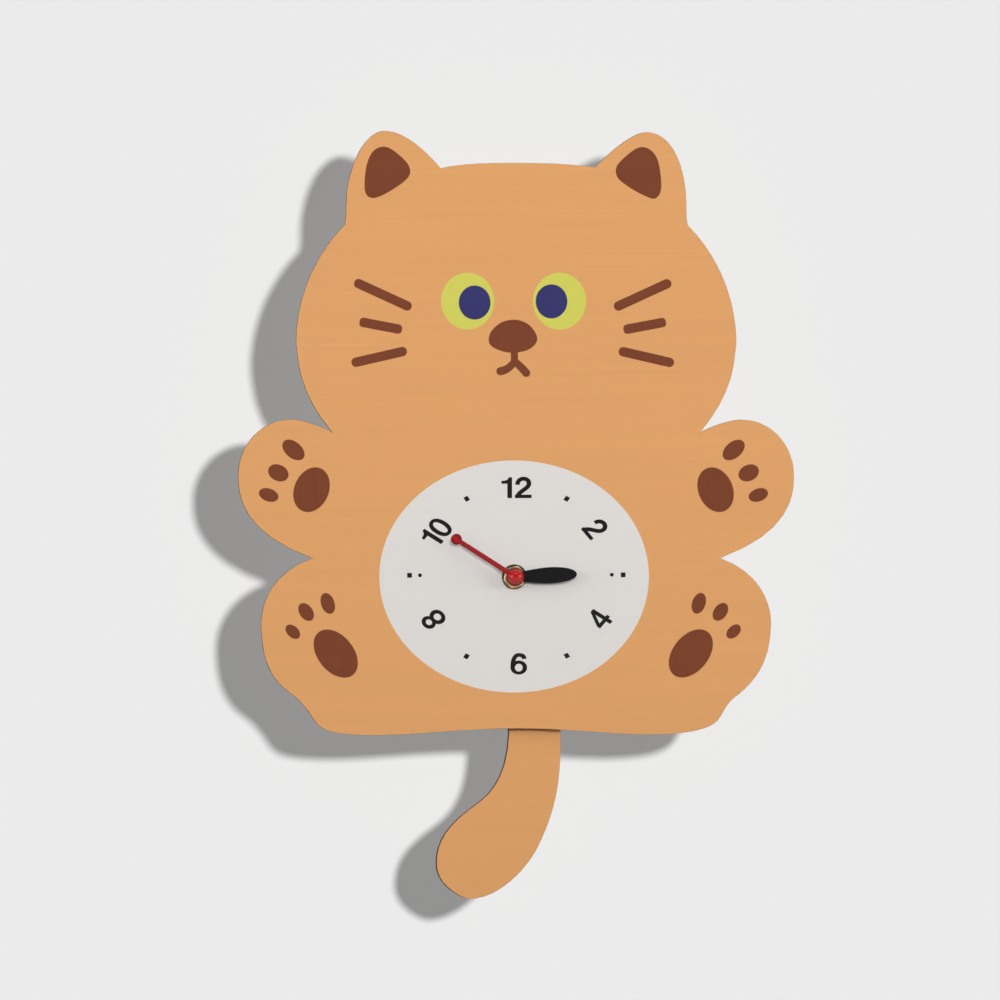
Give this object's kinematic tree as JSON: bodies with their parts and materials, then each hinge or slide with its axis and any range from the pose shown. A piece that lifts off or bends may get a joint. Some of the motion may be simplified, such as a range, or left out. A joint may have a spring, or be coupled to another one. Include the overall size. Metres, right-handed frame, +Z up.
{
  "type": "cat tail clock",
  "caption": "Wall clock cut from flat board as a sitting cat, with a quartz movement behind the dial and a tail that swings as its pendulum.",
  "frame": {"origin": "where the axis of the hands meets the movement's flat back, which is the wall plane", "axes": "+Z up the cat, -Y out of the dial towards the viewer, +X to the viewer's right"},
  "size_m": [0.2762, 0.0316, 0.3805],
  "materials": {
    "printed_board": "thin wood board, printed tan on the front, raw at the back, with dark laser-cut edges",
    "black_paint": "satin black enamel on stamped metal",
    "red_paint": "gloss red enamel on stamped metal",
    "red_plastic": "glossy red moulded plastic",
    "brass": "turned brass, slightly dulled",
    "steel": "plain bright steel",
    "magnet": "nickel-plated magnet",
    "black_rubber": "matt black rubber",
    "black_plastic": "finely textured black moulded plastic",
    "white_plastic": "off-white acetal",
    "copper_wire": "enamelled copper wire, wound in layers",
    "circuit_board": "green solder mask",
    "battery_jacket": "plain blue foil jacket"
  },
  "bodies": {
    "frame": {"body_panel": "printed_board", "movement_front_case": "black_plastic", "movement_rear_case": "black_plastic", "gear_plate": "white_plastic", "threaded_bush": "brass", "rubber_washer": "black_rubber", "brass_washer": "brass", "hex_nut": "brass", "stator_plate": "steel", "coil_core": "steel", "motor_coil_bobbin": "white_plastic", "motor_coil_winding": "copper_wire", "circuit_board": "circuit_board", "quartz_crystal": "steel", "clock_chip": "black_plastic", "pendulum_board": "circuit_board", "pendulum_coil_bobbin": "white_plastic", "pendulum_coil_winding": "copper_wire", "pendulum_pivot_pin": "steel", "battery_positive_contact": "steel", "battery_negative_contact": "steel", "battery": "battery_jacket"},
    "pendulum": {"pendulum_arm": "white_plastic", "pendulum_magnet": "magnet", "tail_hanger": "steel", "tail_screw_left": "steel", "tail_screw_right": "steel", "tail_panel": "printed_board"},
    "minute_shaft": {"minute_arbor": "white_plastic", "minute_hand": "red_paint", "centre_cap": "red_plastic"},
    "hour_pipe": {"hour_wheel": "white_plastic", "hour_hand": "black_paint"},
    "motion_shaft": {"motion_wheel": "white_plastic", "setting_knob": "black_plastic"},
    "centre_drive": {"centre_wheel": "white_plastic"},
    "third_drive": {"third_wheel": "white_plastic"},
    "seconds_drive": {"seconds_wheel": "white_plastic"},
    "intermediate_drive": {"intermediate_wheel": "white_plastic"},
    "rotor": {"rotor_pinion": "white_plastic", "rotor_magnet": "magnet"}
  },
  "joints": [
    {"name": "tail_swing", "type": "hinge", "parent": "frame", "child": "pendulum", "pos_m": [0, -0.0085, -0.036], "axis": [0, 1, 0], "range_deg": [-10, 10]},
    {"name": "minute_turn", "type": "hinge", "parent": "frame", "child": "minute_shaft", "pos_m": [0, -0.015, 0], "axis": [0, 1, 0], "continuous": true},
    {"name": "hour_turn", "type": "hinge", "parent": "frame", "child": "hour_pipe", "pos_m": [0, -0.02, 0], "axis": [0, 1, 0], "continuous": true},
    {"name": "setting_knob_turn", "type": "hinge", "parent": "frame", "child": "motion_shaft", "pos_m": [-0.00779, -0.008, -0.0045], "axis": [0, 1, 0], "continuous": true},
    {"name": "seconds_turn", "type": "hinge", "parent": "frame", "child": "seconds_drive", "pos_m": [0.00611, -0.005, 0.01134], "axis": [0, 1, 0], "continuous": true},
    {"name": "centre_turn", "type": "hinge", "parent": "frame", "child": "centre_drive", "pos_m": [0, -0.0075, 0], "axis": [0, 1, 0], "continuous": true},
    {"name": "third_turn", "type": "hinge", "parent": "frame", "child": "third_drive", "pos_m": [0.00736, -0.005, 0.00425], "axis": [0, 1, 0], "continuous": true},
    {"name": "intermediate_turn", "type": "hinge", "parent": "frame", "child": "intermediate_drive", "pos_m": [-0.00136, -0.005, 0.01069], "axis": [0, 1, 0], "continuous": true},
    {"name": "rotor_turn", "type": "hinge", "parent": "frame", "child": "rotor", "pos_m": [-0.00813, -0.005, 0.01128], "axis": [0, 1, 0], "continuous": true}
  ],
  "couplings": [
    {"joint": "hour_turn", "follows": "minute_turn", "ratio": 0.083333},
    {"joint": "setting_knob_turn", "follows": "minute_turn", "ratio": -0.33333},
    {"joint": "third_turn", "follows": "seconds_turn", "ratio": -0.125},
    {"joint": "centre_turn", "follows": "seconds_turn", "ratio": 0.016667},
    {"joint": "intermediate_turn", "follows": "seconds_turn", "ratio": -4},
    {"joint": "rotor_turn", "follows": "seconds_turn", "ratio": 30}
  ]
}
